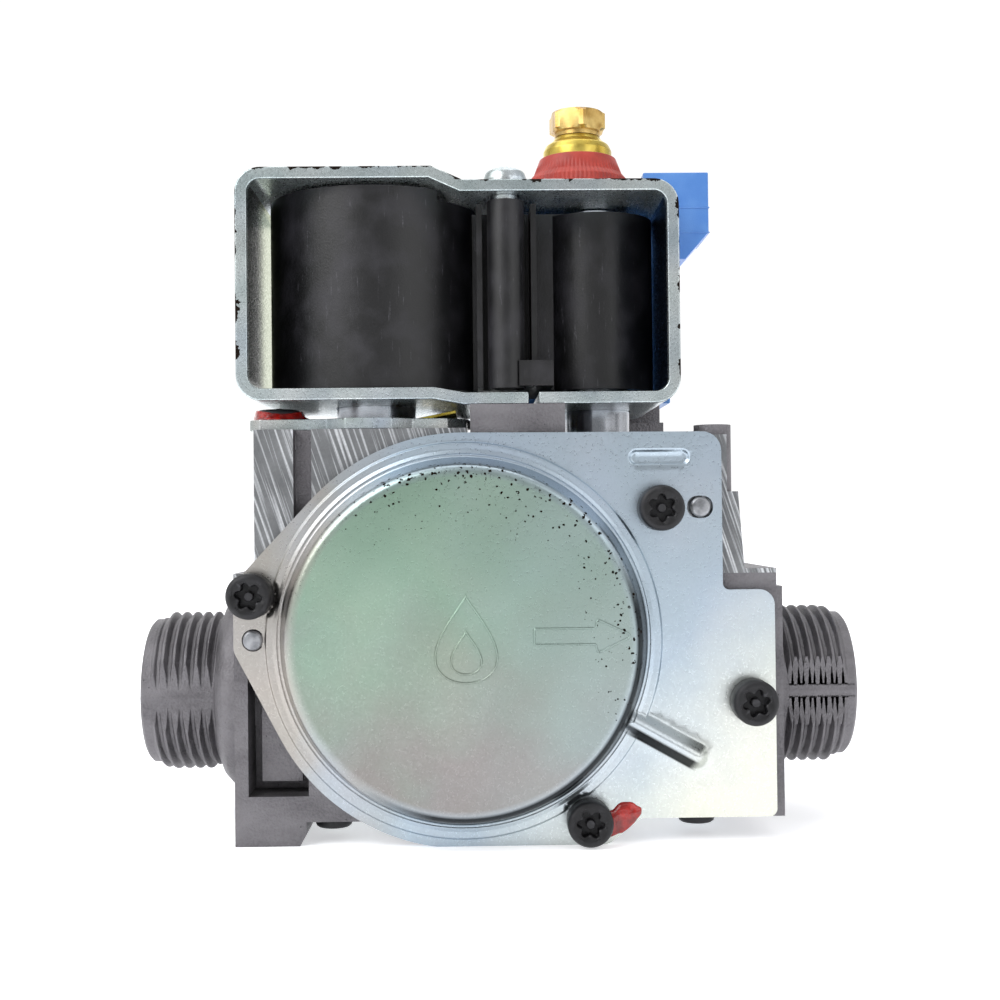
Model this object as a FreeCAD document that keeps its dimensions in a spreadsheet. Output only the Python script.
import FreeCAD, Part
import math
import os
from types import SimpleNamespace

import Sketcher

# Two-coil modulating gas valve for a boiler.
# Frame: millimetres, origin at the centre of the inlet pipe's end face, +X along the gas flow,
# -Y towards the diaphragm cover (front), +Z up towards the coils.

SIZES = {
    # pipe stubs with G 3/4 external threads (14 turns per inch)
    "pipe_length": 117.0,
    "crest_radius": 13.22,
    "root_radius": 12.06,
    "pitch": 1.814,
    "lead_in": 2.0,
    "crest_land": 0.36,
    "flank": 0.60,
    "stub_flat": 12.0,
    "pipe_bore": 9.5,
    "collar_radius": 13.0,
    "boss_radius": 16.3,
    # casting, front face and blocks
    "left_edge": 17.2,
    "right_edge": 102.4,
    "front": -23.0,
    "back": 20.0,
    "bottom": -18.0,
    "block_top": 20.5,
    "tower_left": 20.5,
    "tower_right": 53.5,
    "tower_top": 42.8,
    "tower_back": 15.0,
    "foot_drop": 3.7,
    "foot_width": 11.0,
    "screw_block_left": 54.1,
    "screw_block_right": 68.9,
    "rear_step": 18.0,
    # servo diaphragm cover and main valve, on one axis along Y
    "dome_x": 52.85,
    "dome_z": 9.98,
    "flange_radius": 32.0,
    "sheet": 1.5,
    "step_radius": 30.0,
    "foot_radius": 28.3,
    "plateau_radius": 26.8,
    "dome_height": 6.6,
    "chamber_radius": 27.0,
    "chamber_depth": 6.5,
    "bead_radius": 29.0,
    "stem_radius": 2.0,
    "main_seat_radius": 6.5,
    # cover screws
    "screw_left_x": 20.3,
    "screw_left_z": 17.2,
    "screw_top_x": 83.2,
    "screw_top_z": 30.0,
    "screw_right_x": 97.2,
    "screw_right_z": 0.15,
    "screw_bottom_x": 71.8,
    "screw_bottom_z": -17.9,
    "screw_head_radius": 3.7,
    "screw_head_length": 4.0,
    "screw_radius": 2.0,
    "pin_radius": 1.5,
    # coil group
    "coil_y": -3.0,
    "evone_x": 38.2,
    "evtwo_x": 75.5,
    "coil_bottom": 49.5,
    "coil_top": 81.4,
    "coil_big_radius": 17.5,
    "coil_small_radius": 9.6,
    "coil_small_bottom": 49.7,
    "coil_small_top": 78.6,
    "coil_step_x": 49.2,
    "web_top": 79.0,
    "bracket_left": 17.6,
    "bracket_right": 87.2,
    "bracket_front": -22.0,
    "bracket_back": 16.0,
    "bracket_wall": 1.9,
    "bracket_high": 84.0,
    "bracket_high_right": 81.8,
    "bracket_low": 47.4,
    "bracket_low_right": 46.5,
    "bend_left": 48.3,
    "bend_right": 53.2,
    "bracket_corner": 4.0,
    "pillar_x": 60.0,
    "pillar_y": -18.0,
    "pillar_radius": 2.95,
    "plate_top": 44.6,
    "plate_head_radius": 3.65,
    "plate_head_length": 1.8,
    # solenoid valves
    "tube_one_radius": 6.65,
    "tube_one_bore": 5.95,
    "plunger_one_radius": 5.88,
    "lift_one": 2.5,
    "core_one_low": 64.9,
    "tube_one_top": 81.6,
    "chamber_one_radius": 11.5,
    "seat_one": 23.0,
    "tube_two_radius": 5.5,
    "tube_two_bore": 4.9,
    "plunger_two_radius": 4.84,
    "lift_two": 1.3,
    "core_two_low": 64.5,
    "tube_two_foot": 37.0,
    "tube_two_top": 79.7,
    "seat_two": 29.0,
    # modulating regulator at the back
    "mod_x": 75.6,
    "mod_y": 36.0,
    "mod_half": 13.9,
    "mod_base": 46.0,
    "mod_bottom": 50.0,
    "mod_top": 91.0,
    "mod_tube_radius": 7.4,
    "mod_tube_bore": 6.6,
    "mod_plunger_radius": 6.55,
    "plug_right": 100.7,
    "plug_top": 95.7,
    "plug_bottom": 78.8,
    "nipple_radius": 4.4,
    "nipple_length": 8.0,
    "nut_flats": 10.0,
    "adjuster_rise": 0.7,
    "nut_low": 104.0,
    "nut_high": 108.0,
}


class Length:
    """A length in millimetres and the sheet formula that it comes from."""

    def __init__(self, value, formula):
        self.value = float(value)
        self.formula = formula

    def __add__(self, other):
        return Length(self.value + value_of(other), f"({self.formula} + {formula_of(other)})")

    def __radd__(self, other):
        return Length(value_of(other) + self.value, f"({formula_of(other)} + {self.formula})")

    def __sub__(self, other):
        return Length(self.value - value_of(other), f"({self.formula} - {formula_of(other)})")

    def __rsub__(self, other):
        return Length(value_of(other) - self.value, f"({formula_of(other)} - {self.formula})")

    def __mul__(self, factor):
        return Length(self.value * factor, f"({self.formula} * {factor})")

    def __truediv__(self, divisor):
        return Length(self.value / divisor, f"({self.formula} / {divisor})")

    def __neg__(self):
        return Length(-self.value, f"(0 - {self.formula})")


def value_of(size):
    """The plain number behind a size."""
    return size.value if isinstance(size, Length) else float(size)


def formula_of(size):
    """The sheet formula behind a size."""
    return size.formula if isinstance(size, Length) else f"({float(size)})"


def polar(centre, radius, degrees):
    """A point on a circle about a centre, at an angle from the first axis."""
    turn = math.radians(degrees)
    reach_x = Length(value_of(radius) * math.cos(turn), f"({formula_of(radius)} * cos({degrees}))")
    reach_z = Length(value_of(radius) * math.sin(turn), f"({formula_of(radius)} * sin({degrees}))")
    return centre[0] + reach_x, centre[1] + reach_z


doc = FreeCAD.newDocument("GasValve")
pieces = []


def make_sheet():
    """Put the driving dimensions in a spreadsheet and return them by name."""
    sheet = doc.addObject("Spreadsheet::Sheet", "Sizes")
    for row, (name, value) in enumerate(SIZES.items(), start=1):
        sheet.set(f"A{row}", name)
        sheet.set(f"B{row}", str(value))
        sheet.setAlias(f"B{row}", name)
    doc.recompute()
    return SimpleNamespace(**{name: Length(value, f"Sizes.{name}") for name, value in SIZES.items()})


D = make_sheet()


def bind(feature, prop, size):
    """Set a property and tie it to the sheet."""
    setattr(feature, prop, value_of(size))
    if isinstance(size, Length):
        feature.setExpression(prop, size.formula)


# ---------------------------------------------------------------------------
# Sketch shapes: each returns a function that draws one closed wire


def constrain(sketch, wanted):
    """Add constraints in one go. Each is a list of arguments that ends with its size."""
    constraints = [Sketcher.Constraint(*rule[:-1], value_of(rule[-1])) for rule in wanted]
    for index, rule in zip(sketch.addConstraint(constraints), wanted):
        if isinstance(rule[-1], Length):
            sketch.setExpression(f"Constraints[{index}]", rule[-1].formula)


def circle(x, y, radius):
    """A circle with its centre and radius."""

    def draw(sketch):
        centre = FreeCAD.Vector(value_of(x), value_of(y), 0)
        geometry = sketch.addGeometry(
            Part.Circle(centre, FreeCAD.Vector(0, 0, 1), value_of(radius)), False)
        constrain(sketch, [
            ("DistanceX", -1, 1, geometry, 3, x), ("DistanceY", -1, 1, geometry, 3, y),
            ("Radius", geometry, radius)])

    return draw


def outline(*points):
    """A closed polygon through the given points."""

    def draw(sketch):
        corners = [FreeCAD.Vector(value_of(x), value_of(y), 0) for x, y in points]
        edges = [Part.LineSegment(*ends) for ends in zip(corners, corners[1:] + corners[:1])]
        lines = list(sketch.addGeometry(edges, False))
        sketch.addConstraint([
            Sketcher.Constraint("Coincident", line, 2, following, 1)
            for line, following in zip(lines, lines[1:] + lines[:1])])
        places = [("DistanceX", -1, 1, line, 1, x) for line, (x, y) in zip(lines, points)]
        places += [("DistanceY", -1, 1, line, 1, y) for line, (x, y) in zip(lines, points)]
        constrain(sketch, places)

    return draw


def box(x_low, y_low, x_high, y_high):
    """A rectangle between two opposite corners."""
    return outline((x_low, y_low), (x_high, y_low), (x_high, y_high), (x_low, y_high))


def hexagon(x, y, flats, turn):
    """A hexagon of a given width across flats, turned about its centre."""
    corner = flats / (2 * math.cos(math.radians(30)))
    return outline(*[polar((x, y), corner, turn + 60 * side) for side in range(6)])


# ---------------------------------------------------------------------------
# Sub-parts


class Piece:
    """One sub-part: a PartDesign body that grows feature by feature."""

    def __init__(self, label):
        self.body = doc.addObject("PartDesign::Body", label)
        self.body.Label = label
        self.body.Placement = FreeCAD.Placement()
        self.count = 0
        pieces.append(self.body)

    def sketch(self, plane, offset, shapes):
        """Draw shapes on an origin plane moved along its normal."""
        self.count += 1
        sketch = self.body.newObject("Sketcher::SketchObject", f"{self.body.Name}_sketch{self.count}")
        origin_plane = next(f for f in self.body.Origin.OriginFeatures if f.Role == f"{plane}_Plane")
        sketch.AttachmentSupport = [(origin_plane, "")]
        sketch.MapMode = "FlatFace"
        sketch.AttachmentOffset = FreeCAD.Placement(
            FreeCAD.Vector(0, 0, value_of(offset)), FreeCAD.Rotation())
        if isinstance(offset, Length):
            sketch.setExpression(".AttachmentOffset.Base.z", offset.formula)
        for draw in shapes:
            draw(sketch)
        sketch.Visibility = False
        return sketch

    def slab(self, plane, low, high, *shapes):
        """Add material between two positions along the plane's axis. XZ looks along -Y."""
        flipped = plane == "XZ"
        sketch = self.sketch(plane, -low if flipped else low, shapes)
        pad = self.body.newObject("PartDesign::Pad", f"{self.body.Name}_pad{self.count}")
        pad.Profile = sketch
        bind(pad, "Length", high - low)
        pad.Reversed = flipped
        pad.Refine = False
        doc.recompute()
        return self

    def cut(self, plane, low, high, *shapes):
        """Remove material between two positions along the plane's axis."""
        flipped = plane == "XZ"
        before = self.body.Shape.Volume
        sketch = self.sketch(plane, -low if flipped else low, shapes)
        pocket = self.body.newObject("PartDesign::Pocket", f"{self.body.Name}_pocket{self.count}")
        pocket.Profile = sketch
        bind(pocket, "Length", high - low)
        pocket.Reversed = not flipped
        pocket.Refine = False
        doc.recompute()
        self.expect_less(before, pocket)
        return self

    def turn(self, plane, axis, *shapes):
        """Add a solid of revolution about a sketch axis."""
        sketch = self.sketch(plane, 0, shapes)
        revolution = self.body.newObject("PartDesign::Revolution", f"{self.body.Name}_turn{self.count}")
        revolution.Profile = sketch
        revolution.ReferenceAxis = (sketch, [axis])
        revolution.Angle = 360
        revolution.Refine = False
        doc.recompute()
        return self

    def groove(self, plane, axis, *shapes):
        """Remove a solid of revolution about a sketch axis."""
        before = self.body.Shape.Volume
        sketch = self.sketch(plane, 0, shapes)
        groove = self.body.newObject("PartDesign::Groove", f"{self.body.Name}_groove{self.count}")
        groove.Profile = sketch
        groove.ReferenceAxis = (sketch, [axis])
        groove.Angle = 360
        doc.recompute()
        self.expect_less(before, groove)
        return self

    def coil(self, mean_radius, wire_radius, pitch, height):
        """Add a helical spring about the body's Z axis, from its first turn's centre up."""
        sketch = self.sketch("XZ", 0, [circle(mean_radius, 0, wire_radius)])
        helix = self.body.newObject("PartDesign::AdditiveHelix", f"{self.body.Name}_coil")
        helix.Profile = sketch
        helix.ReferenceAxis = (sketch, ["V_Axis"])
        helix.Mode = "pitch-height-angle"
        helix.Pitch = pitch
        helix.Height = height
        doc.recompute()
        return self

    def round(self, radius, wanted):
        """Fillet the edges that a test picks."""
        base = self.body.Tip
        names = [f"Edge{i}" for i, edge in enumerate(base.Shape.Edges, start=1) if wanted(edge)]
        fillet = self.body.newObject("PartDesign::Fillet", f"{self.body.Name}_fillet{self.count}")
        fillet.Base = (base, names)
        fillet.Radius = radius
        doc.recompute()
        return self

    def place(self, x, y, z, tilt=None):
        """Move the finished body to its place, tied to the sheet."""
        rotation = tilt or FreeCAD.Rotation()
        self.body.Placement = FreeCAD.Placement(
            FreeCAD.Vector(value_of(x), value_of(y), value_of(z)), rotation)
        for name, size in zip("xyz", (x, y, z)):
            if isinstance(size, Length):
                self.body.setExpression(f".Placement.Base.{name}", size.formula)
        return self

    def expect_less(self, before, feature):
        """Stop if a cutting feature removed nothing."""
        if self.body.Shape.Volume > before - 0.001:
            raise RuntimeError(f"{feature.Name} removed nothing")


ALONG_Y = FreeCAD.Rotation(FreeCAD.Vector(1, 0, 0), -90)
DOWNWARDS = FreeCAD.Rotation(FreeCAD.Vector(1, 0, 0), 180)
FRONTWARDS = FreeCAD.Rotation(FreeCAD.Vector(1, 0, 0), 90)
RECESS_FLOOR = 0.45  # height of a screw's recess floor, as a share of its head


def turned(label, *profile):
    """A plain turned piece about Z: its profile is radius and height pairs."""
    return Piece(label).turn("XZ", "V_Axis", outline(*profile))


def ring(label, inner, outer, low, high):
    """A turned ring about Z."""
    return turned(label, (inner, low), (outer, low), (outer, high), (inner, high))


def near(edge, x, z, reach=0.6):
    """Is an edge parallel to Y and close to a place seen from the front?"""
    first = edge.Vertexes[0].Point
    last = edge.Vertexes[-1].Point
    straight = abs(first.x - last.x) + abs(first.z - last.z) < 0.001 and abs(first.y - last.y) > 0.1
    return straight and math.hypot(first.x - value_of(x), first.z - value_of(z)) < reach


def fastener_group(label, screws):
    """Several identical screws as one node: a group of separate solids."""
    group = doc.addObject("Part::Compound", label)
    group.Label = label
    group.Links = screws
    group.Placement = FreeCAD.Placement()
    doc.recompute()
    pieces.append(group)


def screw(name, head_radius, head_length, shank_radius, shank_length, recess_radius, place, axis):
    """A cylinder-head screw: head above the seat, shank below it, with a hexalobular-size recess."""
    head = doc.addObject("Part::Cylinder", f"{name}_head")
    bind(head, "Radius", head_radius)
    bind(head, "Height", head_length)
    shank = doc.addObject("Part::Cylinder", f"{name}_shank")
    bind(shank, "Radius", shank_radius)
    bind(shank, "Height", shank_length)
    shank.Placement.Base = FreeCAD.Vector(0, 0, -value_of(shank_length))
    whole = doc.addObject("Part::Fuse", f"{name}_blank")
    whole.Base = head
    whole.Tool = shank
    recess = doc.addObject("Part::Cylinder", f"{name}_recess")
    bind(recess, "Radius", recess_radius)
    recess.Height = value_of(head_length)
    recess.Placement.Base = FreeCAD.Vector(0, 0, value_of(head_length) * RECESS_FLOOR)
    finished = doc.addObject("Part::Cut", name)
    finished.Base = whole
    finished.Tool = recess
    finished.Placement = FreeCAD.Placement(FreeCAD.Vector(*[value_of(p) for p in place]), axis)
    return finished


# ---------------------------------------------------------------------------
# Casting


def stub_profile(start, direction):
    """Half profile of one threaded stub, drawn from its end face towards the casting."""

    def at(distance, radius):
        return start + distance * direction, radius

    points = [at(0.0, D.pipe_bore), at(0.0, D.root_radius - 0.5)]
    points += [at(0.5, D.root_radius), at(D.lead_in, D.root_radius)]
    for crest in range(5):
        middle = D.lead_in + D.pitch * (crest + 0.5)
        points.append(at(middle - D.crest_land / 2 - D.flank, D.root_radius))
        points.append(at(middle - D.crest_land / 2, D.crest_radius))
        points.append(at(middle + D.crest_land / 2, D.crest_radius))
        points.append(at(middle + D.crest_land / 2 + D.flank, D.root_radius))
    points += [at(D.lead_in + D.pitch * 5 + 0.3, D.root_radius)]
    points += [at(D.lead_in + D.pitch * 5 + 0.9, D.collar_radius)]
    return points


def thread_stubs(body):
    """Both G 3/4 stubs with their collars and bosses, turned about the pipe axis."""
    inlet = stub_profile(0.0, 1)
    inlet += [(D.left_edge - 5.0, D.collar_radius), (D.left_edge - 4.4, D.collar_radius + 1.6)]
    inlet += [(D.left_edge - 3.2, D.boss_radius - 0.4), (D.left_edge - 2.0, D.boss_radius)]
    inlet += [(D.left_edge + 4, D.boss_radius), (D.left_edge + 4, D.pipe_bore)]
    outlet = stub_profile(D.pipe_length, -1)
    outlet += [(D.right_edge + 1.2, D.collar_radius), (D.right_edge + 0.8, D.boss_radius)]
    outlet += [(D.right_edge - 4, D.boss_radius), (D.right_edge - 4, D.pipe_bore)]
    for profile in (inlet, outlet):
        body.turn("XZ", "H_Axis", outline(*profile))
    beyond = D.boss_radius + 2
    inlet_end = D.left_edge - 5.1
    outlet_end = D.right_edge + 1.3
    ends = [box(-1, -beyond, inlet_end, beyond), box(outlet_end, -beyond, D.pipe_length + 1, beyond)]
    body.cut("XZ", -beyond, -D.stub_flat, *ends)
    body.cut("XZ", D.stub_flat, beyond, *ends)


def casting_blocks(body):
    """Outer blocks of the casting, seen from the front."""
    lower = outline(
        (D.left_edge, D.bottom), (D.right_edge, D.bottom), (D.right_edge, 17.7),
        (D.right_edge - 0.9, 17.7), (D.right_edge - 0.9, D.block_top), (D.left_edge, D.block_top))
    body.slab("XZ", D.front, D.back, lower)
    body.slab("XZ", D.front, D.tower_back, box(D.tower_left, 0, D.tower_right, D.tower_top))
    right = outline(
        (D.tower_right - 1, 0), (96.5, 0), (96.5, 21.5), (95.7, 32.5), (94.0, 32.5),
        (94.0, 41.4), (D.tower_right - 1, 41.4))
    body.slab("XZ", D.front, D.front + 9, right)
    body.slab("XZ", D.front + 1, D.rear_step, box(66.0, 0, 85.0, 41.8))
    body.slab("XZ", D.front + 0.5, D.front + 12,
              box(D.screw_block_left, 30, D.screw_block_right, D.bracket_low_right))
    body.slab("XZ", D.front, D.front + 5.8, circle(D.dome_x, D.dome_z, D.flange_radius - 0.4))
    body.slab("XZ", D.front, D.front + 13, circle(D.screw_bottom_x, D.screw_bottom_z, 4.0))
    body.slab("XY", 18.0, 43.0, circle(92.3, D.front + 3.2, 2.9))
    foot = outline(
        (D.left_edge, D.bottom), (D.left_edge, D.bottom - D.foot_drop),
        (D.left_edge + D.foot_width - 1, D.bottom - D.foot_drop),
        (D.left_edge + D.foot_width, D.bottom - D.foot_drop + 2), (D.left_edge + D.foot_width, D.bottom))
    body.slab("XZ", D.front, D.front + 14, foot)
    body.slab("XZ", D.back - 14, D.back, foot)


def regulator_tower(body):
    """Block behind the casting that carries the modulating regulator."""
    left = D.mod_x - D.mod_half
    right = D.mod_x + D.mod_half
    rear = D.mod_y + D.mod_half
    body.slab("XY", 27.0, D.mod_base, box(left, D.rear_step - 1, right, rear))
    body.slab("XY", 8.0, 27.5, box(71.0, D.rear_step, 80.0, rear - 8))


def inlet_passages(body):
    """Pipe bore, riser to the first solenoid chamber, and the way down through its seat."""
    body.cut("YZ", -1, 26.0, circle(0, 0, D.pipe_bore))
    body.cut("XY", 0, 38.0, box(22.9, -8.5, 29.5, 6.0))
    body.cut("XY", D.seat_one - 1, D.tower_top + 1, circle(D.evone_x, D.coil_y, D.chamber_one_radius))
    body.slab("XY", D.seat_one - 1.5, D.seat_one, circle(D.evone_x, D.coil_y, 8.0))
    body.cut("XY", 12, D.seat_one + 1, circle(D.evone_x, D.coil_y, 6.8))
    body.cut("XZ", -9.5, D.back - 2.0, box(30.5, 0, 43.0, 18.0))


def main_valve_passages(body):
    """Diaphragm chamber, outlet chamber, main seat and the chamber behind it."""
    chamber_back = D.front + D.chamber_depth
    body.cut("XZ", D.front - 1, chamber_back, circle(D.dome_x, D.dome_z, D.chamber_radius))
    body.cut("XZ", D.front - 1, D.front + 1.5, circle(D.dome_x, D.dome_z, D.bead_radius))
    body.cut("XZ", chamber_back - 1, -12.0, circle(D.dome_x, D.dome_z, 4.0))
    body.cut("XZ", -12.5, 3.0, circle(D.dome_x, D.dome_z, 8.0))
    body.cut("XZ", 2.0, 6.0, circle(D.dome_x, D.dome_z, D.main_seat_radius))
    body.cut("XZ", 6.0, D.back + 1, circle(D.dome_x, D.dome_z, 11.0))
    body.slab("XZ", 4.5, 7.0, circle(D.dome_x, D.dome_z, D.main_seat_radius + 1.2))
    body.cut("XZ", 2.0, 8.0, circle(D.dome_x, D.dome_z, D.main_seat_radius))
    body.cut("YZ", 68.0, D.pipe_length + 1, circle(0, 0, D.pipe_bore))
    body.cut("XZ", -9.0, 2.5, box(55.0, -8.0, 71.0, 12.0))


def pilot_passages(body):
    """Second solenoid chamber, regulator chamber and the pilot drillings between them."""
    body.cut("XY", D.seat_two - 1.0, 43, circle(D.evtwo_x, D.coil_y, D.tube_two_bore))
    body.cut("XY", D.tube_two_foot, 43, circle(D.evtwo_x, D.coil_y, D.tube_two_radius))
    body.slab("XY", D.seat_two - 2.0, D.seat_two, circle(D.evtwo_x, D.coil_y, 2.6))
    body.cut("XY", 20.0, D.seat_two + 1, circle(D.evtwo_x, D.coil_y, 1.4))
    body.cut("XZ", D.front + 4, D.coil_y + 1, circle(D.evtwo_x, 21.5, 1.4))
    body.cut("XY", D.mod_base - 8, D.mod_base + 1, circle(D.mod_x, D.mod_y, 9.5))
    body.slab("XY", D.mod_base - 9, D.mod_base - 5.8, circle(D.mod_x, D.mod_y, 3.2))
    body.cut("XY", 30.5, D.mod_base - 3, circle(D.mod_x, D.mod_y, 1.6))
    body.cut("XZ", D.coil_y + 1, D.mod_y + 1, circle(D.mod_x, 32.0, 1.4))


def test_points(body):
    """Two pressure test nipples on the back face, drilled into the inlet and the outlet."""
    nipples = [circle(x, z, D.nipple_radius) for x, z in test_point_places()]
    body.slab("XZ", D.back - 1, D.back + D.nipple_length, *nipples)
    body.cut("XZ", 5.0, D.back + D.nipple_length + 1, circle(*test_point_places()[0], 1.8))
    body.cut("XZ", 7.0, D.back + D.nipple_length + 1, circle(*test_point_places()[1], 1.8))


def casting_details(body):
    """Front pocket beside the inlet, locating pins, seal groove, base recess and small screw holes."""
    body.cut("XZ", D.front - 1, D.front + 7.5, box(19.3, -14.0, 28.6, 8.0))
    body.slab("XZ", D.front + 2.4, D.front + 9, box(21.1, -12.0, 27.4, 6.0))
    pins = [circle(20.4, 10.3, D.pin_radius), circle(89.5, 30.1, D.pin_radius)]
    body.slab("XZ", D.front - 2.0, D.front + 1, *pins)
    body.cut("XZ", D.front - 1, D.front + 2.6, box(26.6, 27.0, 29.4, 44))
    body.cut("XY", 34.0, D.bracket_low_right + 1, circle(D.pillar_x, D.pillar_y, D.screw_radius))
    body.cut("XY", 34.0, D.tower_top + 1, *[circle(x, y, 1.5) for x, y in plate_screw_places()])
    seal = [circle(D.evone_x, D.coil_y, 14.2), circle(D.evone_x, D.coil_y, 12.2)]
    body.cut("XY", D.tower_top - 1.4, D.tower_top + 1, *seal)
    body.cut("XZ", 12.0, D.back + 1, *[circle(x, z, 1.5) for x, z in rear_screw_places()])
    body.cut("XY", D.bottom - 1, D.bottom + 1.3, base_outline(0.2))
    body.cut("XY", D.bottom, D.bottom + 5, *[circle(x, y, 1.5) for x, y in base_screw_places()])
    body.cut("XY", 38.0, D.mod_base + 1, *[circle(x, y, 1.25) for x, y in flange_screw_places()])


def cover_screw_holes(body):
    """Four holes for the cover screws, one of them through the edge of the outlet's boss."""
    holes = [circle(x, z, D.screw_radius) for x, z in cover_screw_places()]
    body.cut("XZ", D.front - 1, D.front + 11, *holes)


def cover_screw_places():
    """Where the four cover screws stand, seen from the front."""
    return [
        (D.screw_left_x, D.screw_left_z), (D.screw_top_x, D.screw_top_z),
        (D.screw_right_x, D.screw_right_z), (D.screw_bottom_x, D.screw_bottom_z)]


def plate_screw_places():
    """Where the three screws of the first solenoid's plate stand, seen from above."""
    return [(23.3, -14.5), (23.3, 10.5), (50.5, 10.5)]


def rear_screw_places():
    """Where the three screws of the rear cover stand, seen from the front."""
    return [polar((D.dome_x, D.dome_z), 13.0, angle) for angle in (90, 210, 330)]


def base_screw_places():
    """Where the four screws of the base plate stand, seen from above."""
    return [(x, y) for x in (31.9, 89.4) for y in (-17.4, 13.5)]


def base_outline(margin):
    """Outline of the base plate from above, notched around the lowest cover screw."""
    left, right = 28.8 - margin, 94.2 + margin
    near_side, far_side = -20.8 - margin, 16.8 + margin
    notch_left, notch_right, notch = 40.0 + margin, 78.5 - margin, -9.4 - margin
    return outline(
        (left, near_side), (notch_left, near_side), (notch_left, notch), (notch_right, notch),
        (notch_right, near_side), (right, near_side), (right, far_side), (left, far_side))


def flange_screw_places():
    """Where the four screws of the regulator flange stand, seen from above."""
    reach = D.mod_half - 2.4
    return [
        (D.mod_x + reach * side, D.mod_y + reach * end) for side in (-1, 1) for end in (-1, 1)]


def test_point_places():
    """Centres of the inlet and outlet test points, seen from the front."""
    return [(26.0, 14.0), (94.0, 4.0)]


def valve_body():
    """The die-cast body."""
    body = Piece("valve_body")
    casting_blocks(body)
    regulator_tower(body)
    inlet_passages(body)
    main_valve_passages(body)
    pilot_passages(body)
    test_points(body)
    casting_details(body)
    thread_stubs(body)
    cover_screw_holes(body)


def inlet_strainer():
    """Perforated disc in a rim, pressed into the inlet bore."""
    strainer = Piece("inlet_strainer")
    radius = D.pipe_bore - 0.05
    strainer.slab("YZ", 12.0, 15.0, circle(0, 0, radius), circle(0, 0, radius - 0.9))
    holes = []
    for row in range(-2, 3):
        for column in range(-2, 3):
            across = (column + row / 2) * 3.1
            up = row * 2.7
            if math.hypot(across, up) < 7.0:
                holes.append(circle(across, up, 1.05))
    strainer.slab("YZ", 14.0, 15.0, circle(0, 0, radius - 0.5), *holes)


# ---------------------------------------------------------------------------
# Diaphragm cover and main valve


def cover_flange(cover):
    """Flat flange of the cover around the dome, drawn from the dome's centre."""
    low = D.front - D.sheet
    cover.slab("XZ", low, D.front, circle(0, 0, D.flange_radius))
    x, z = D.dome_x, D.dome_z
    right = outline(
        (0, 41.8 - z), (0, -D.flange_radius), (67.5 - x, -D.flange_radius), (70.5 - x, -22.1 - z),
        (73.0 - x, -22.1 - z), (75.3 - x, -21.1 - z), (79.8 - x, -17.8 - z), (101.0 - x, -17.8 - z),
        (101.0 - x, 17.4 - z), (92.9 - x, 17.4 - z), (92.9 - x, 41.8 - z))
    cover.slab("XZ", low, D.front, right)
    lower = polar((0, 0), D.flange_radius, 207.6)
    upper = polar((0, 0), D.flange_radius, 137.6)
    left = outline(
        (0, 0), lower, (17.5 - x, 8.5 - z), (17.5 - x, 17.5 - z), (18.1 - x, 19.6 - z),
        (19.5 - x, 20.6 - z), upper)
    cover.slab("XZ", low, D.front, left)
    cover.cut("XZ", low - 1, D.front + 1, circle(0, 0, D.foot_radius - 1.1))


def cover_dome(cover):
    """Pressed dome over the diaphragm, with its step at the foot."""
    face = D.front - D.sheet
    top = face - D.dome_height
    skin = D.sheet - 0.3
    cover.turn("XY", "V_Axis", outline(
        (0, top), (D.plateau_radius - 1.2, top), (D.plateau_radius + 0.4, top + 1.2),
        (D.foot_radius, face - 0.6), (D.step_radius, face - 0.6), (D.step_radius + 0.6, face),
        (D.step_radius + 0.6, D.front), (D.foot_radius - 1.1, D.front),
        (D.plateau_radius - 0.5, top + skin + 1.0), (D.plateau_radius - 1.8, top + skin),
        (0, top + skin)))


def cover_rib(cover):
    """Pressed channel that runs out of the dome towards the lower right."""
    face = D.front - D.sheet
    start = polar((0, 0), D.plateau_radius - 0.6, -25.9)
    end = polar((0, 0), D.flange_radius + 7.4, -27.1)

    def channel(reach):
        return outline(
            polar(start, reach, 58.7), polar(start, reach, 238.7), polar(end, reach, 238.7),
            polar(end, reach, 283.7), polar(end, reach, 328.7), polar(end, reach, 13.7),
            polar(end, reach, 58.7))

    cover.slab("XZ", face - 1.5, D.front, channel(1.7))
    cover.cut("XZ", face - 0.4, D.front + 0.1, channel(0.8))


def diaphragm_cover():
    """Pressed and zinc-plated steel cover of the servo diaphragm."""
    cover = Piece("diaphragm_cover")
    cover_flange(cover)
    cover_dome(cover)
    x, z = D.dome_x, D.dome_z
    holes = [circle(at_x - x, at_z - z, D.screw_radius + 0.2) for at_x, at_z in cover_screw_places()]
    holes.append(circle(20.4 - x, 10.3 - z, D.pin_radius + 0.2))
    holes.append(box(87.5 - x, 28.4 - z, 91.5 - x, 31.8 - z))
    cover.cut("XZ", D.front - D.sheet - 1, D.front + 1, *holes)
    seats = [circle(at_x - x, at_z - z, D.screw_head_radius + 0.1) for at_x, at_z in cover_screw_places()]
    cover.cut("XZ", D.front - D.sheet - 1, D.front - D.sheet, *seats)
    cover.place(D.dome_x, 0, D.dome_z)


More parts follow.
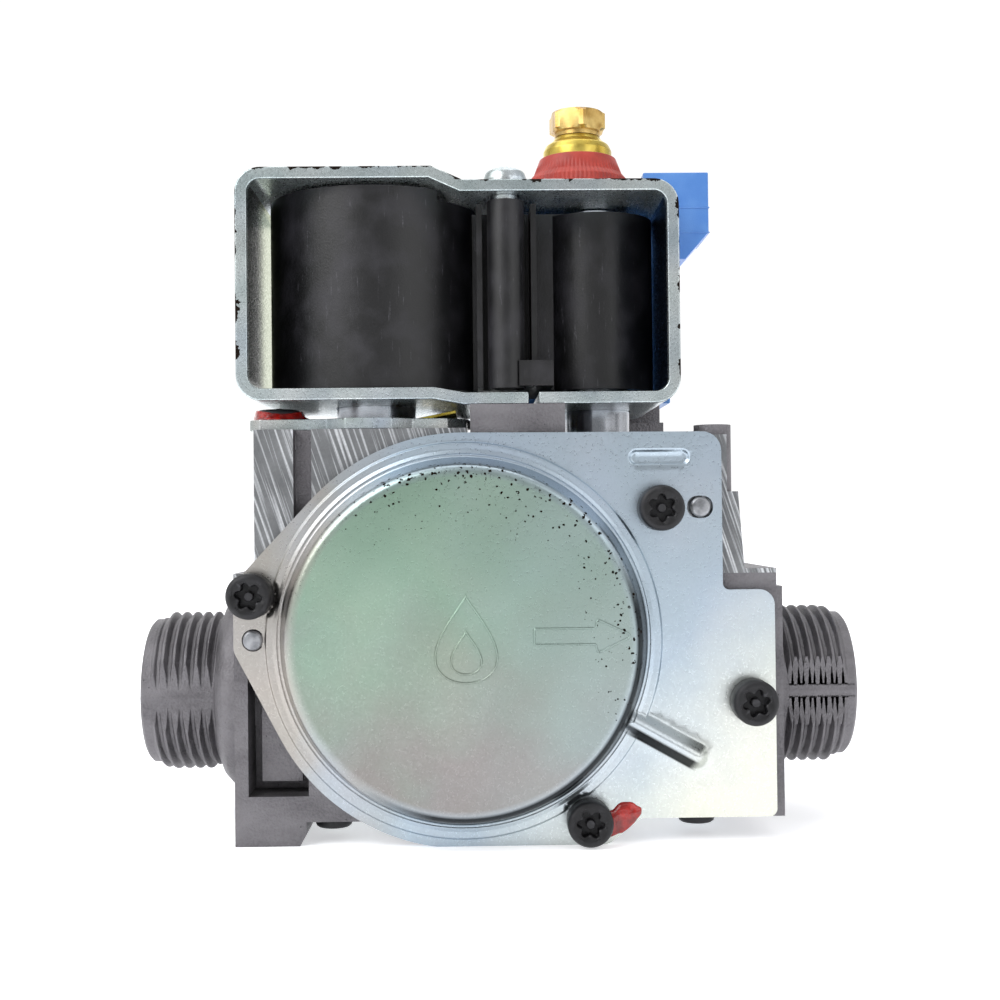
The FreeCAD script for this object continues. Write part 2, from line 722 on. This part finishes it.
def main_valve():
    """Servo diaphragm, its plates and the main valve on one stem along Y."""
    along = (D.dome_x, 0, D.dome_z, ALONG_Y)
    face = D.front
    rim = D.bead_radius - 0.1
    turned(
        "servo_diaphragm", (D.stem_radius + 0.05, face - 2.4), (21.0, face - 2.4),
        (22.6, face - 3.8), (24.2, face - 2.8), (24.9, face + 0.05), (rim, face + 0.05),
        (rim, face + 1.45), (24.1, face + 1.45), (23.4, face - 1.9), (22.6, face - 2.8),
        (21.3, face - 1.6), (D.stem_radius + 0.05, face - 1.6)).place(*along)
    bore = D.stem_radius + 0.03
    ring("diaphragm_front_plate", bore, 20.0, face - 3.4, face - 2.4).place(*along)
    ring("diaphragm_rear_plate", bore, 20.0, face - 1.6, face - 0.6).place(*along)
    stem = D.stem_radius
    turned(
        "main_valve_stem", (0, face - 4.9), (3.2, face - 4.9), (3.2, face - 3.4), (stem, face - 3.4),
        (stem, face - 0.6), (3.2, face - 0.6), (3.2, face + 1.4), (stem, face + 1.4),
        (stem, 12.0), (0, 12.0)).place(*along)
    ring("stem_guide", D.stem_radius + 0.06, 4.0, face + D.chamber_depth, -12.0).place(*along)
    ring("main_valve_seal", bore, 8.8, 7.0, 8.8).place(*along)
    ring("main_valve_disc", bore, 9.2, 8.8, 10.0).place(*along)
    ring("main_valve_clip", D.stem_radius, 3.4, 10.0, 10.8).place(*along)
    spring = Piece("main_valve_spring").coil(6.2, 0.5, 1.75, 7.2)
    spring.place(D.dome_x, 10.65, D.dome_z, ALONG_Y)


def rear_cover():
    """Plate, gasket and screws that close the chamber behind the main valve."""
    holes = [circle(x, z, 1.7) for x, z in rear_screw_places()]
    gasket = Piece("rear_cover_gasket")
    gasket.slab("XZ", D.back, D.back + 0.5, circle(D.dome_x, D.dome_z, 15.0), *holes,
                circle(D.dome_x, D.dome_z, 11.0))
    plate = Piece("rear_cover")
    plate.slab("XZ", D.back + 0.5, D.back + 2.5, circle(D.dome_x, D.dome_z, 15.0), *holes)
    plate.slab("XZ", D.back - 1.4, D.back + 0.6, circle(D.dome_x, D.dome_z, 10.9))
    screws = [
        screw(f"rear_screw_{index}", 2.6, 2.2, 1.5, 8.0, 1.3, (x, D.back + 2.5, z), ALONG_Y)
        for index, (x, z) in enumerate(rear_screw_places())]
    fastener_group("rear_cover_screws", screws)


def cover_screws():
    """Four black cylinder-head screws that hold the diaphragm cover."""
    screws = [
        screw(f"cover_screw_{index}", D.screw_head_radius, D.screw_head_length, D.screw_radius,
              11.0, 2.2, (x, D.front - D.sheet, z), FRONTWARDS)
        for index, (x, z) in enumerate(cover_screw_places())]
    fastener_group("cover_screws", screws)


def base_plate():
    """Thin plate let into the underside, and its four screws."""
    plate = Piece("base_plate")
    holes = [circle(x, y, 1.7) for x, y in base_screw_places()]
    plate.slab("XY", D.bottom + 0.1, D.bottom + 1.3, base_outline(0), *holes)
    screws = [
        screw(f"base_screw_{index}", 2.9, 1.9, 1.5, 4.5, 1.4, (x, y, D.bottom + 0.1), DOWNWARDS)
        for index, (x, y) in enumerate(base_screw_places())]
    fastener_group("base_screws", screws)


# ---------------------------------------------------------------------------
# Coils and their bracket


def coil_bracket():
    """Steel strip bent into a closed frame around both coils, its ends meeting underneath."""
    wall = D.bracket_wall
    outer = outline(
        (D.bracket_left, D.bracket_low), (D.bend_left, D.bracket_low),
        (D.bend_right, D.bracket_low_right), (D.bracket_right, D.bracket_low_right),
        (D.bracket_right, D.bracket_high_right), (D.bend_right, D.bracket_high_right),
        (D.bend_left, D.bracket_high), (D.bracket_left, D.bracket_high))
    inner = outline(
        (D.bracket_left + wall, D.bracket_low + wall), (D.bend_left + 0.2, D.bracket_low + wall),
        (D.bend_right + 0.2, D.bracket_low_right + wall),
        (D.bracket_right - wall, D.bracket_low_right + wall),
        (D.bracket_right - wall, D.bracket_high_right - wall),
        (D.bend_right - 0.4, D.bracket_high_right - wall),
        (D.bend_left - 0.4, D.bracket_high - wall), (D.bracket_left + wall, D.bracket_high - wall))
    bracket = Piece("coil_bracket")
    bracket.slab("XZ", D.bracket_front, D.bracket_back, outer, inner)
    corners = [
        (D.bracket_left, D.bracket_low), (D.bracket_left, D.bracket_high),
        (D.bracket_right, D.bracket_low_right), (D.bracket_right, D.bracket_high_right)]
    bracket.round(value_of(D.bracket_corner),
                  lambda edge: any(near(edge, x, z) for x, z in corners))
    inner_radius = value_of(D.bracket_corner - wall)
    bracket.round(inner_radius, lambda edge: any(
        near(edge, x + shift, z + rise) for (x, z), shift, rise in zip(
            corners, (wall, wall, -wall, -wall), (wall, -wall, wall, -wall))))
    bracket.cut("XZ", D.bracket_front - 1, D.bracket_back + 1, box(63.3, 45.0, 64.9, 49.0))
    bracket.cut("XY", 45.0, 50.0, circle(D.evone_x, D.coil_y, D.tube_one_radius + 0.2),
                circle(D.evtwo_x, D.coil_y, D.tube_two_radius + 0.2),
                circle(D.pillar_x, D.pillar_y, D.screw_radius + 0.15))
    bracket.cut("XY", 79.0, 85.0, circle(D.pillar_x, D.pillar_y, D.screw_radius + 0.15))


def coil_block():
    """Black overmoulded block with both windings, the screw sleeve and the connector socket."""
    block = Piece("coil_block")
    block.slab("XY", D.coil_bottom, D.coil_top, circle(D.evone_x, D.coil_y, D.coil_big_radius))
    block.cut("XY", D.web_top + 0.7, D.coil_top + 1, box(D.coil_step_x, -20.0, D.evtwo_x, 15.0))
    block.slab("XY", D.coil_small_bottom, D.coil_small_top,
               circle(D.evtwo_x, D.coil_y, D.coil_small_radius))
    block.slab("XY", 49.8, D.web_top, box(D.evone_x + 12, -9.0, D.evtwo_x, 8.0))
    block.slab("XY", 49.2, D.web_top, circle(D.pillar_x, D.pillar_y, D.pillar_radius))
    for x, width in ((D.pillar_x, 2.0), (D.pillar_x - 4.2, 0.9), (D.pillar_x + 4.5, 0.9)):
        block.slab("XY", 49.6, D.web_top, box(x - width / 2, -16.8, x + width / 2, -8.0))
    block.slab("XZ", -20.6, -8.0, box(61.9, 49.5, 67.3, 53.5))
    block.slab("XZ", 6.0, 28.0, box(36.0, 57.0, 56.0, 75.0))
    block.cut("XZ", 19.0, 29.0, box(37.6, 58.6, 54.4, 73.4))
    block.cut("XY", 48.0, 83.0, circle(D.evone_x, D.coil_y, D.tube_one_radius + 0.1),
              circle(D.evtwo_x, D.coil_y, D.tube_two_radius + 0.1),
              circle(D.pillar_x, D.pillar_y, D.screw_radius + 0.1))
    block.cut("XY", 52.5, 78.5, circle(D.evone_x, D.coil_y, 15.3), circle(D.evone_x, D.coil_y, 8.4))
    block.cut("XY", 52.0, 76.5, circle(D.evtwo_x, D.coil_y, 9.0), circle(D.evtwo_x, D.coil_y, 6.8))
    ring("ev1_winding", 8.4, 15.3, 52.5, 78.5).place(D.evone_x, D.coil_y, 0)
    ring("ev2_winding", 6.8, 9.0, 52.0, 76.5).place(D.evtwo_x, D.coil_y, 0)


def blades(label, places, low, high):
    """Flat connector blades as one node, along Y."""
    group = []
    for index, (x, z) in enumerate(places):
        blade = doc.addObject("Part::Box", f"{label}_{index}")
        blade.Length = 0.8
        blade.Width = high - low
        blade.Height = 2.8
        blade.Placement.Base = FreeCAD.Vector(value_of(x), low, z)
        group.append(blade)
    fastener_group(label, group)


def coil_hardware():
    """Terminals, fixing screw and the brass spring clip beside the first solenoid."""
    blades("coil_terminals", [(41.0, 64.6), (45.6, 64.6), (50.2, 64.6)], 19.0, 26.0)
    fixing = screw("coil_fixing_screw", 3.5, 2.7, D.screw_radius - 0.02, 45.0, 1.6,
                   (D.pillar_x, D.pillar_y, D.bracket_high_right), FreeCAD.Rotation())
    fixing.Label = "coil_fixing_screw"
    pieces.append(fixing)
    clip = Piece("coil_spring_clip")
    clip.slab("XZ", -12.0, 4.0, outline(
        (45.6, 44.65), (51.8, 45.9), (51.7, 46.4), (45.5, 45.15)))


# ---------------------------------------------------------------------------
# Solenoid valves


def first_solenoid():
    """Safety solenoid: plate, tube, fixed core, plunger, spring and seat seal."""
    here = (D.evone_x, D.coil_y, 0)
    plate = Piece("ev1_plate")
    holes = [circle(x, y, 1.7) for x, y in plate_screw_places()]
    plate.slab("XY", D.tower_top, D.plate_top, outline(
        (19.1, -17.6), (20.9, -19.6), (31.5, -19.6), (34.6, -22.2), (41.8, -22.2), (45.0, -19.6),
        (50.5, -19.6), (53.5, -16.2), (53.5, 12.6), (51.4, 14.8), (21.1, 14.8), (19.1, 12.8)),
        *holes, circle(D.evone_x, D.coil_y, D.tube_one_radius))
    screws = [
        screw(f"plate_screw_{index}", D.plate_head_radius, D.plate_head_length, 1.5, 8.0, 1.7,
              (x, y, D.plate_top), FreeCAD.Rotation())
        for index, (x, y) in enumerate(plate_screw_places())]
    fastener_group("ev1_plate_screws", screws)
    ring("ev1_plate_seal", 12.3, 14.1, D.tower_top - 1.35, D.tower_top - 0.02).place(*here)
    ring("ev1_core_tube", D.tube_one_bore, D.tube_one_radius, D.tower_top, D.tube_one_top).place(*here)
    ring("ev1_fixed_core", 0, D.tube_one_bore, D.core_one_low, D.tube_one_top).place(*here)
    radius = D.plunger_one_radius
    top = D.core_one_low - D.lift_one - 0.2
    turned(
        "ev1_plunger", (0, 26.2), (3.0, 26.2), (3.0, 36.0), (radius, 36.0), (radius, top),
        (2.9, top), (2.9, 50.0), (0, 50.0)).place(*here)
    ring("ev1_valve_disc", 0, 9.2, D.seat_one + 2.0, 26.2).place(*here)
    ring("ev1_seat_seal", 0, 9.4, D.seat_one, D.seat_one + 2.0).place(*here)
    Piece("ev1_spring").coil(2.3, 0.35, 1.5, 14.1).place(D.evone_x, D.coil_y, 50.4)


def second_solenoid():
    """Pilot solenoid: tube, fixed core, plunger, spring and seat seal."""
    here = (D.evtwo_x, D.coil_y, 0)
    ring("ev2_core_tube", D.tube_two_bore, D.tube_two_radius, D.tube_two_foot, D.tube_two_top).place(*here)
    ring("ev2_fixed_core", 0, D.tube_two_bore, D.core_two_low, D.tube_two_top).place(*here)
    radius = D.plunger_two_radius
    top = D.core_two_low - D.lift_two - 0.2
    turned(
        "ev2_plunger", (0, D.seat_two + 2.0), (radius, D.seat_two + 2.0), (radius, top),
        (2.4, top), (2.4, 52.0), (0, 52.0)).place(*here)
    ring("ev2_seat_seal", 0, 3.4, D.seat_two, D.seat_two + 2.0).place(*here)
    Piece("ev2_spring").coil(1.9, 0.3, 1.4, 11.8).place(D.evtwo_x, D.coil_y, 52.35)


# ---------------------------------------------------------------------------
# Modulating regulator


def regulator():
    """Regulator diaphragm and disc under the modulator, in its flange on the casting."""
    here = (D.mod_x, D.mod_y, 0)
    left, right = D.mod_x - D.mod_half, D.mod_x + D.mod_half
    near_side, rear = D.mod_y - D.mod_half, D.mod_y + D.mod_half
    flange = Piece("regulator_flange")
    flange.slab("XY", D.mod_base, D.mod_bottom, box(left, near_side, right, rear))
    flange.cut("XY", D.mod_base - 1, D.mod_base + 0.8, circle(D.mod_x, D.mod_y, 12.6))
    flange.cut("XY", D.mod_base, D.mod_bottom + 1, circle(D.mod_x, D.mod_y, D.mod_tube_radius))
    places = flange_screw_places()
    flange.cut("XY", D.mod_base - 1, D.mod_bottom + 1, *[circle(x, y, 1.4) for x, y in places])
    flange.cut("XY", D.mod_bottom - 2, D.mod_bottom + 1, *[circle(x, y, 2.3) for x, y in places])
    screws = [
        screw(f"flange_screw_{index}", 2.2, 1.8, 1.25, 8.0, 1.0, (x, y, D.mod_bottom - 2),
              FreeCAD.Rotation())
        for index, (x, y) in enumerate(places)]
    fastener_group("regulator_screws", screws)
    ring("regulator_diaphragm", 1.3, 12.4, D.mod_base, D.mod_base + 0.75).place(*here)
    low = D.mod_base - 4.5
    turned(
        "regulator_disc", (0, low), (5.0, low), (5.0, low + 1.5), (1.25, low + 1.5),
        (1.25, D.mod_base + 0.8), (0, D.mod_base + 0.8)).place(*here)


def modulator():
    """Blue coil housing with its winding, core tube, plunger, spring, plug socket and blades."""
    here = (D.mod_x, D.mod_y, 0)
    housing = Piece("modulator_housing")
    left, right = D.mod_x - D.mod_half, 91.6
    housing.slab("XY", D.mod_bottom, D.mod_top,
                 box(left, D.mod_y - D.mod_half + 0.5, right, D.mod_y + D.mod_half - 0.4))
    housing.slab("XZ", 31.0, 47.0, outline(
        (88.0, D.plug_bottom), (D.plug_right - 4.5, D.plug_bottom),
        (D.plug_right, D.plug_bottom + 5.1), (D.plug_right, D.plug_top), (88.0, D.plug_top)))
    housing.cut("XZ", 37.0, 48.0, box(91.2, 85.0, 99.2, 94.2))
    housing.cut("XY", 49.0, 92.0, circle(D.mod_x, D.mod_y, D.mod_tube_radius + 0.1))
    housing.cut("XY", 56.0, 86.0, circle(D.mod_x, D.mod_y, 12.4), circle(D.mod_x, D.mod_y, 8.6))
    ring("modulator_winding", 8.6, 12.4, 56.0, 86.0).place(*here)
    blades("modulator_terminals", [(93.0, 88.2), (96.6, 88.2)], 37.0, 44.0)
    ring("modulator_core_tube", D.mod_tube_bore, D.mod_tube_radius, D.mod_base + 0.8, 94.0).place(*here)
    radius = D.mod_plunger_radius
    turned(
        "modulator_plunger", (0, D.mod_base + 0.8), (2.0, D.mod_base + 0.8), (2.0, 56.0),
        (radius, 56.0), (radius, 76.0), (0, 76.0)).place(*here)
    Piece("modulator_spring").coil(2.3, 0.35, 2.0, 19.7).place(D.mod_x, D.mod_y, 76.4)
    ring("modulator_pole_plate", D.mod_tube_radius + 0.05, 11.0, D.mod_top, D.adjuster_rise + 92.2).place(*here)


def adjuster():
    """Red seal ring, brass adjuster body, hexagon nut and the plastic screw inside it."""
    here = (D.mod_x, D.mod_y, D.adjuster_rise)
    outer = D.mod_tube_radius + 0.05
    turned(
        "adjuster_seal_ring", (outer, 92.2), (9.8, 92.2), (9.8, 94.4), (8.7, 95.4), (7.2, 98.8),
        (6.0, 98.8), (6.0, 94.2), (outer, 94.2)).place(*here)
    turned(
        "adjuster_body", (3.2, 94.2), (5.95, 94.2), (5.95, 98.8), (6.75, 98.8), (6.75, 100.4),
        (6.2, 101.4), (4.9, 102.2), (4.5, 103.0), (3.2, 103.0)).place(*here)
    nut = Piece("max_adjust_nut")
    nut.turn("XZ", "V_Axis", outline(
        (1.65, 96.2), (3.15, 96.2), (3.15, 103.05), (4.5, 103.05), (4.5, D.nut_low),
        (1.65, D.nut_low)))
    nut.slab("XY", D.nut_low, D.nut_high, hexagon(0, 0, D.nut_flats, 8), circle(0, 0, 1.65))
    nut.groove("XZ", "V_Axis", outline((5.0, D.nut_high + 0.1), (6.2, D.nut_high + 0.1),
                                       (6.2, D.nut_high - 0.8)))
    nut.place(*here)
    low, high = D.nut_low + 0.2, D.nut_high + 1
    limit = turned("min_adjust_screw", (0, low), (1.6, low), (1.6, high), (0, high))
    limit.cut("XY", D.nut_high + 0.2, D.nut_high + 2, box(-0.3, -2.0, 0.3, 2.0))
    limit.place(*here)


def test_screws():
    """Slotted screws that close the two test points."""
    for name, (x, z) in zip(("inlet_test_screw", "outlet_test_screw"), test_point_places()):
        closing = Piece(name)
        end = D.back + D.nipple_length
        closing.turn("XZ", "V_Axis", outline(
            (0, end - 10), (1.74, end - 10), (1.74, end), (2.9, end), (2.9, end + 1.8), (0, end + 1.8)))
        closing.cut("XY", end + 0.8, end + 3, box(-0.4, -4.0, 0.4, 4.0))
        closing.place(x, 0, z, ALONG_Y)


# ---------------------------------------------------------------------------


def check_document():
    """Stop on any failed object and on any empty or invalid sub-part."""
    doc.recompute()
    for item in doc.Objects:
        if {"Invalid", "Error"} & set(item.State):
            raise RuntimeError(f"{item.Name} is {item.State}")
    for piece in pieces:
        if piece.Shape.isNull() or not piece.Shape.isValid():
            raise RuntimeError(f"{piece.Label} has no valid shape")


def export():
    """Write each sub-part's shape to its own file."""
    os.makedirs("parts", exist_ok=True)
    for piece in pieces:
        piece.Shape.exportStep(f"parts/{piece.Label}.step")
        print(piece.Label, round(piece.Shape.Volume, 1), len(piece.Shape.Solids))


valve_body()
inlet_strainer()
diaphragm_cover()
main_valve()
rear_cover()
cover_screws()
base_plate()
coil_bracket()
coil_block()
coil_hardware()
first_solenoid()
second_solenoid()
regulator()
modulator()
adjuster()
test_screws()
check_document()
export()
